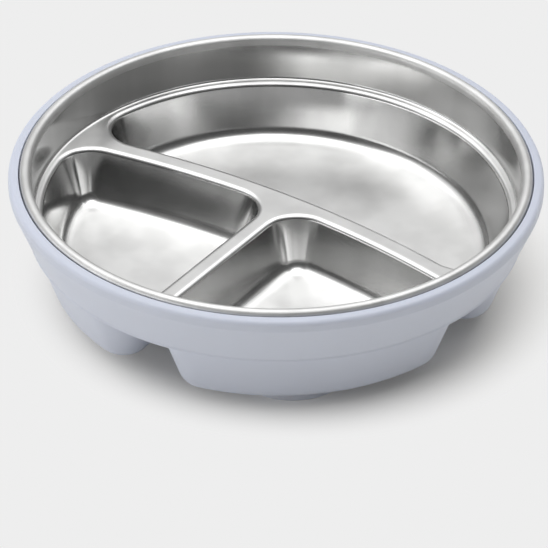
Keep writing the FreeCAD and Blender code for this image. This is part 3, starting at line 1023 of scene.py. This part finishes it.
@dataclass
class SteelDish:
    """The pressed dish: three compartments, ledge, upper wall and rolled rim."""

    shop: Workshop
    finish: Material
    rounding: Rounding = Rounding()
    turns: int = 360  # runs round the rim
    roll_turns: int = 40  # runs round the rim's roll

    def outline(self) -> Outline:
        """The compartments' mouth edges.

        Returns:
            The outline.
        """
        half_bar = SIZES.bar_width / 2.0
        return Outline(
            rim=SIZES.mouth_radius,
            near_bend=SIZES.bar_bend - half_bar,
            far_bend=SIZES.bar_bend + half_bar,
            half_divider=SIZES.divider_width / 2.0,
            tee_corner=SIZES.tee_corner + SIZES.mouth_spread,
            rim_corner=SIZES.rim_corner + SIZES.mouth_spread,
        )

    def compartment_sections(self) -> list[list[Point]]:
        """Sections of a compartment, from the ledge to the floor.

        Returns:
            Its upper and its lower skin.
        """
        sheet = SIZES.steel_sheet
        skin = sheet / math.cos(SIZES.draft) - sheet * math.tan(SIZES.draft)
        return [
            pocket_section(self.rounding, 0.0, SIZES.ledge_top, SIZES.steel_floor,
                           SIZES.mouth_round, SIZES.floor_round),
            pocket_section(self.rounding, skin, SIZES.ledge_underside, SIZES.steel_underside,
                           SIZES.mouth_round - sheet, SIZES.floor_round + sheet),
        ]

    def rim_section(self) -> list[Point]:
        """Section of the ledge's edge, the upper wall and the rolled rim.

        Returns:
            The points, up inside and back down outside.
        """
        sheet, draft = SIZES.steel_sheet, SIZES.bowl_draft
        flat = flat_start(self.rounding, SIZES.mouth_radius, SIZES.mouth_round)
        centre = (SIZES.bead_ring, SIZES.bead_centre)
        outer, inner = SIZES.bead_radius, SIZES.bead_radius - sheet
        start, end = math.pi - draft, -(math.pi - SIZES.bead_slit)
        roll_out = circle_points(centre, outer, start, end, self.roll_turns)
        roll_in = circle_points(centre, inner, end, start, self.roll_turns)
        skin = sheet / math.cos(draft)
        wall_up = self.rounding.apply([
            Corner(flat, SIZES.ledge_top),
            Corner(SIZES.ledge_radius, SIZES.ledge_top, SIZES.ledge_round),
            Corner(*roll_out[0]),
        ])
        wall_down = self.rounding.apply([
            Corner(*roll_in[-1]),
            Corner(SIZES.bowl_side(SIZES.ledge_underside) + skin, SIZES.ledge_underside,
                   SIZES.ledge_round + sheet),
            Corner(flat, SIZES.ledge_underside),
        ])
        return wall_up + roll_out[1:] + roll_in + wall_down[1:]

    def build(self) -> Thing:
        """Make the dish as one closed skin.

        Returns:
            The dish.
        """
        skin = Skin([
            self.shop.swept(self.outline().all(), self.compartment_sections(), self.finish),
            self.shop.turned(self.rim_section(), SIZES.mouth_radius, self.turns, self.finish),
        ])
        for height in (SIZES.ledge_top, SIZES.ledge_underside,
                       SIZES.steel_floor, SIZES.steel_underside):
            skin.close_flat(height)
        return skin.piece("pressed_dish", self.finish)


@dataclass
class MouldedShell:
    """The shell: lip with a rabbet, side wall, step, three pockets and four stem holes."""

    shop: Workshop
    finish: Material
    rounding: Rounding = Rounding()
    turns: int = 360  # runs round the rim
    hole_turns: int = 48  # runs round a stem hole

    def thickness(self) -> float:
        """How far the outer skin of a pocket stands off the inner one, on the level."""
        return SIZES.shell_wall / math.cos(SIZES.draft) - SIZES.shell_wall * math.tan(SIZES.draft)

    def outline(self) -> Outline:
        """The pockets' edges inside, at the step.

        Returns:
            The outline.
        """
        rise = SIZES.ledge_top - SIZES.step_top
        skin = SIZES.steel_sheet / math.cos(SIZES.draft) - rise * math.tan(SIZES.draft)
        half_bar = SIZES.bar_width / 2.0
        return Outline(
            rim=SIZES.mouth_radius + skin + SIZES.rim_gap,
            near_bend=SIZES.bar_bend - half_bar + skin + SIZES.near_bar_gap,
            far_bend=SIZES.bar_bend + half_bar - skin - SIZES.far_bar_gap,
            half_divider=SIZES.divider_width / 2.0 - skin - SIZES.divider_gap,
            tee_corner=SIZES.tee_corner + SIZES.mouth_spread + skin + SIZES.tee_corner_extra,
            rim_corner=SIZES.rim_corner + SIZES.mouth_spread + skin + SIZES.rim_corner_extra,
        )

    def pocket_sections(self) -> list[list[Point]]:
        """Sections of a pocket, from the step to the floor.

        Returns:
            Its inner and its outer skin.
        """
        return [
            pocket_section(self.rounding, 0.0, SIZES.step_top, SIZES.shell_floor,
                           SIZES.well_mouth_round, SIZES.shell_inner_floor_round),
            pocket_section(self.rounding, self.thickness(), SIZES.step_underside, SIZES.cup_drop,
                           SIZES.shell_root_round, SIZES.shell_floor_round),
        ]

    def side_section(self) -> list[Point]:
        """Section of the shell's side, from the step inside over the lip to the step's underside.

        Returns:
            The points.
        """
        cavity = SIZES.steel_sheet / math.cos(SIZES.bowl_draft) + SIZES.side_gap
        lip_edge = SIZES.lip_top - SIZES.lip_fall
        rim = self.outline().rim
        foot = rim + self.thickness() + SIZES.shell_step_width
        inner_flat = flat_start(self.rounding, rim, SIZES.well_mouth_round)
        outer_flat = flat_start(self.rounding, rim + self.thickness(), SIZES.shell_root_round)
        return self.rounding.apply([
            Corner(inner_flat, SIZES.step_top),
            Corner(SIZES.bowl_side(SIZES.step_top) + cavity, SIZES.step_top),
            Corner(SIZES.bowl_side(SIZES.rabbet_floor) + cavity, SIZES.rabbet_floor),
            Corner(SIZES.rabbet_radius, SIZES.rabbet_floor),
            Corner(SIZES.rabbet_radius, SIZES.lip_top, SIZES.lip_inner_round),
            Corner(SIZES.lip_radius, lip_edge, SIZES.lip_round),
            Corner(SIZES.lip_radius, lip_edge - SIZES.lip_band, SIZES.lip_band_round),
            Corner(foot, SIZES.step_underside + SIZES.shell_foot_band, SIZES.shell_foot_round),
            Corner(foot, SIZES.step_underside, SIZES.shell_foot_round),
            Corner(outer_flat, SIZES.step_underside),
        ])

    def build(self) -> Thing:
        """Make the shell as one closed skin.

        Returns:
            The shell.
        """
        outline = self.outline()
        hole = SIZES.stem_radius + SIZES.stem_gap
        holes = [ring_points(place, hole, self.hole_turns) for place in cup_places()]
        bore = [(0.0, SIZES.shell_floor), (0.0, SIZES.cup_drop)]
        skin = Skin([
            self.shop.swept(outline.all(), self.pocket_sections(), self.finish),
            self.shop.turned(self.side_section(), outline.rim, self.turns, self.finish),
            self.shop.swept(holes, [bore], self.finish),
        ])
        for height in (SIZES.step_top, SIZES.step_underside, SIZES.shell_floor, SIZES.cup_drop):
            skin.close_flat(height)
        return skin.piece("moulded_shell", self.finish)


@dataclass
class CupSet:
    """Four suction cups, each with a stem and a button inside the shell."""

    shop: Workshop
    finish: Material
    rounding: Rounding = Rounding()
    turns: int = 96  # runs round a cup

    def section(self) -> list[Point]:
        """A cup's section, from its axis out and back.

        Returns:
            The points.
        """
        shoulder_top = SIZES.cup_drop - SIZES.cup_shoulder_drop
        head_top = SIZES.shell_floor + SIZES.stem_head_height
        edge = SIZES.cup_radius - SIZES.cup_bevel
        return self.rounding.apply([
            Corner(0.0, SIZES.cup_hollow + SIZES.cup_eye_depth),
            Corner(SIZES.cup_eye_radius, SIZES.cup_hollow + SIZES.cup_eye_depth),
            Corner(SIZES.cup_eye_radius, SIZES.cup_hollow),
            Corner(SIZES.cup_shoulder_radius, shoulder_top - SIZES.cup_shoulder_wall,
                   SIZES.cup_shoulder_round),
            Corner(edge - SIZES.cup_foot, 0.0),
            Corner(edge, 0.0),
            Corner(SIZES.cup_radius, SIZES.cup_lip),
            Corner(SIZES.cup_shoulder_radius, shoulder_top, SIZES.cup_shoulder_round),
            Corner(SIZES.cup_collar_radius, SIZES.cup_drop),
            Corner(SIZES.stem_radius, SIZES.cup_drop),
            Corner(SIZES.stem_radius, SIZES.shell_floor),
            Corner(SIZES.stem_head_radius, SIZES.shell_floor),
            Corner(SIZES.stem_head_radius - SIZES.stem_head_bevel, head_top),
            Corner(0.0, head_top),
        ])

    def build(self) -> Thing:
        """Make one cup and repeat it at the four places.

        Returns:
            The four cups as one object.
        """
        turned = self.shop.turned(self.section(), SIZES.cup_radius, self.turns, self.finish)
        one = Skin([turned]).piece("cup", self.finish)
        mesh = one.data
        bpy.data.objects.remove(one)
        cups = Skin([self.shop.repeated(mesh, cup_places(), self.finish)])
        return cups.piece("suction_cups", self.finish)


def pocket_section(rounding: Rounding, reach: float, top: float, bottom: float,
                   mouth_round: float, floor_round: float) -> list[Point]:
    """Section of one skin of a compartment, from the flat round its mouth to its floor.

    Args:
        rounding: How finely it is divided.
        reach: Where the drafted wall meets the flat, outwards from the path.
        top: Height of the flat.
        bottom: Height of the floor.
        mouth_round: Radius at the mouth.
        floor_round: Radius at the floor.

    Returns:
        The section's points.
    """
    inset = reach - (top - bottom) * math.tan(SIZES.draft)
    return rounding.apply([
        Corner(reach + flat_margin(mouth_round) + rounding.hold, top),
        Corner(reach, top, mouth_round),
        Corner(inset, bottom, floor_round),
        Corner(inset - flat_margin(floor_round) - rounding.hold, bottom),
    ])


def flat_margin(radius: float) -> float:
    """Width of a flat that a rounding beside a drafted wall takes up."""
    return radius * math.tan((math.pi / 2.0 - SIZES.draft) / 2.0)


def flat_start(rounding: Rounding, reach: float, radius: float) -> float:
    """Where the flat beyond a rounded mouth starts, past the two points that hold it."""
    return reach + flat_margin(radius) + rounding.hold * 2.0


def cup_places() -> list[Point]:
    """Where the cups stand, in plan."""
    sides = (-1.0, 1.0)
    return [(side * SIZES.cup_spread, end * SIZES.cup_reach) for side in sides for end in sides]


# Studio

@dataclass(frozen=True)
class Lamp:
    """A rectangular lamp that faces a point on the plate."""

    name: str
    place: tuple[float, float, float]
    width: float
    height: float
    brightness: float  # radiance of its face

    def build(self) -> None:
        """Make the lamp."""
        light = bpy.data.lights.new(self.name, "AREA")
        light.shape = "RECTANGLE"
        light.size, light.size_y = self.width, self.height
        light.energy = self.brightness * math.pi * self.width * self.height
        lamp = link(bpy.data.objects.new(self.name, light))
        lamp.location = self.place
        lamp.rotation_euler = (-Vector(self.place)).to_track_quat("-Z", "Y").to_euler()


@dataclass(frozen=True)
class Camera:
    """The photograph's view, with a long lens from in front on the right."""

    azimuth: float = math.radians(34.0)
    elevation: float = math.radians(33.85)
    roll: float = math.radians(0.67)
    distance: float = 3.10255
    lens_mm: float = 525.5
    sensor_mm: float = 36.0
    rim_height: float = 0.0532  # the aim is given from the middle of the rim
    aim_right: float = -0.00086
    aim_down: float = 0.03958
    sight: float = 20.0  # how far it sees

    def build(self) -> None:
        """Make the camera and look through it."""
        ahead = Vector((-math.sin(self.azimuth) * math.cos(self.elevation),
                        math.cos(self.azimuth) * math.cos(self.elevation),
                        -math.sin(self.elevation)))
        level = Vector((math.cos(self.azimuth), math.sin(self.azimuth), 0.0))
        tilt = Matrix.Rotation(-self.roll, 3, ahead)
        right = tilt @ level
        up = right.cross(ahead)
        aim = Vector((0.0, 0.0, self.rim_height)) + right * self.aim_right - up * self.aim_down
        data = bpy.data.cameras.new("camera")
        data.sensor_width = self.sensor_mm
        data.lens = self.lens_mm
        data.clip_end = self.sight
        camera = link(bpy.data.objects.new("camera", data))
        place = Matrix((right, up, -ahead)).transposed().to_4x4()
        place.translation = aim - ahead * self.distance
        camera.matrix_world = place
        bpy.context.scene.camera = camera


@dataclass(frozen=True)
class SkySide:
    """How bright one side of the sky is, from the horizon up."""

    steps: tuple[tuple[float, float], ...]  # sine of the elevation, radiance

    def ramp(self, sheet: NodeSheet, height: Socket, full: float) -> Socket:
        """Look the brightness up by height.

        Args:
            sheet: The sky's node sheet.
            height: Sine of the elevation.
            full: The brightness that is given as 1.

        Returns:
            The brightness as a grey.
        """
        node = sheet.add("ShaderNodeValToRGB", {0: height})
        stops = node.color_ramp.elements
        while len(stops) < len(self.steps):
            stops.new(0.5)  # moved to its own place below
        for stop, (place, radiance) in zip(stops, self.steps):
            stop.position = place
            stop.color = (*[radiance / full] * 3, 1.0)
        return node.outputs["Color"]


@dataclass(frozen=True)
class Studio:
    """A pale floor, soft lamps and a sky with a dark band, dimmer on the camera's side."""

    floor_colour: Colour = (0.875, 0.86, 0.82)
    backdrop: Colour = (0.855, 0.855, 0.855)  # the plain tone that the camera sees past the shadow
    shadow_centre: tuple[float, float, float] = (0.0041, 0.0100, 0.0)
    near_reach: float = 0.080  # the backdrop's tone starts to take over here
    far_reach: float = 0.112  # and has taken over here
    near_share: float = 0.08  # its share under the plate
    floor_half: float = 6.0
    floor_roughness: float = 0.9
    sky_full: float = 2.7  # the brightest radiance of the sky
    behind: SkySide = SkySide(((0.0, 0.44), (0.25, 0.38), (0.30, 0.12), (0.45, 0.18),
                               (0.50, 1.06), (0.70, 1.10), (0.74, 1.30), (0.87, 1.50),
                               (0.92, 2.70), (0.965, 2.70), (0.985, 1.30)))
    camera_side: SkySide = SkySide(((0.0, 0.44), (0.25, 0.38), (0.30, 0.03), (0.50, 0.08),
                                    (0.68, 0.10), (0.86, 0.20), (0.925, 2.70), (0.965, 2.70),
                                    (0.985, 1.30)))
    back_azimuth: float = math.radians(142.0)
    side_cosine: float = -0.55  # where the brighter side of the sky ends

    def lamps(self) -> list[Lamp]:
        """The lamps, placed round the photograph's view."""
        return [
            Lamp("left_low", place=(-1.30, -1.77, 0.36), width=3.4, height=0.7, brightness=1.90),
            Lamp("left_high", place=(-1.27, -0.27, 1.78), width=1.8, height=0.8, brightness=1.20),
            Lamp("right_back", place=(0.37, 1.30, 1.73), width=1.6, height=0.7, brightness=1.40),
        ]

    def build(self) -> None:
        """Make the floor, the lamps and the sky."""
        self.build_floor()
        for lamp in self.lamps():
            lamp.build()
        self.build_sky()
        bpy.context.scene.view_settings.view_transform = "Standard"

    def build_floor(self) -> None:
        """Make the floor at the table's height, paler to the camera than to the plate."""
        half = self.floor_half
        mesh = bpy.data.meshes.new("floor")
        corners = [(-half, -half, 0.0), (half, -half, 0.0), (half, half, 0.0), (-half, half, 0.0)]
        mesh.from_pydata(corners, [], [(0, 1, 2, 3)])
        floor = link(bpy.data.objects.new("floor", mesh))
        made, sheet, shader = new_material("pale_floor", self.floor_colour)
        sheet.feed(shader, {"Roughness": self.floor_roughness, "Specular IOR Level": 0.0})
        reach = sheet.add("ShaderNodeVectorMath", {0: sheet.place(), 1: self.shadow_centre},
                          operation="DISTANCE")
        share = sheet.spread(reach.outputs["Value"], self.near_reach, self.far_reach,
                             self.near_share, 1.0)
        rays = sheet.add("ShaderNodeLightPath").outputs
        seen = sheet.total(rays["Is Camera Ray"], rays["Is Glossy Ray"])
        glow = sheet.add("ShaderNodeEmission", {"Color": (*self.backdrop, 1.0)})
        blend = sheet.add("ShaderNodeMixShader", {
            0: sheet.product(seen, share),
            1: shader.outputs[0],
            2: glow.outputs[0],
        })
        sheet.feed(made.node_tree.nodes["Material Output"], {"Surface": blend.outputs[0]})
        mesh.materials.append(made)

    def build_sky(self) -> None:
        """Make the sky from its two sides."""
        world = bpy.data.worlds.new("sky")
        world.use_nodes = True
        bpy.context.scene.world = world
        sheet = NodeSheet(world.node_tree)
        background = world.node_tree.nodes["Background"]
        direction = sheet.add("ShaderNodeTexCoord").outputs["Generated"]
        level = sheet.add("ShaderNodeVectorMath", {0: direction, 1: (1.0, 1.0, 0.0)},
                          operation="MULTIPLY")
        unit = sheet.add("ShaderNodeVectorMath", {0: level.outputs["Vector"]}, operation="NORMALIZE")
        back = (math.cos(self.back_azimuth), math.sin(self.back_azimuth), 0.0)
        facing = sheet.add("ShaderNodeVectorMath", {0: unit.outputs["Vector"], 1: back},
                           operation="DOT_PRODUCT")
        side = sheet.spread(facing.outputs["Value"], self.side_cosine, 1.0, 0.0, 1.0)
        height = sheet.rise(direction)
        near = self.camera_side.ramp(sheet, height, self.sky_full)
        far = self.behind.ramp(sheet, height, self.sky_full)
        sheet.feed(background, {
            "Color": sheet.mixed("RGBA", side, near, far),
            "Strength": self.sky_full,
        })


def main() -> None:
    """Build the plate's pieces in order, then the studio and the camera."""
    logging.basicConfig(level=logging.INFO, format="%(name)s: %(message)s")
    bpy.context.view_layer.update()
    cloud, drawn = cloud_effect(), drawn_effect()
    shop = Workshop()
    pieces = [
        (SteelDish(shop, SteelFinish().material(cloud, drawn)), "steel", ["steel_plate"]),
        (MouldedShell(shop, SHELL_FINISH.material(cloud)), "shell", ["outer_shell"]),
        (CupSet(shop, CUP_FINISH.material(cloud)), "cup",
         ["suction_cup_front_left", "suction_cup_front_right",
          "suction_cup_rear_left", "suction_cup_rear_right"]),
    ]
    for maker, slot, nodes in pieces:
        piece = maker.build()
        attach(piece, "root")
        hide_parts(*nodes)
        LOG.info("%s stands for %s", piece.name, ", ".join(nodes))
    Studio().build()
    Camera().build()


if __name__ == "__main__":
    main()
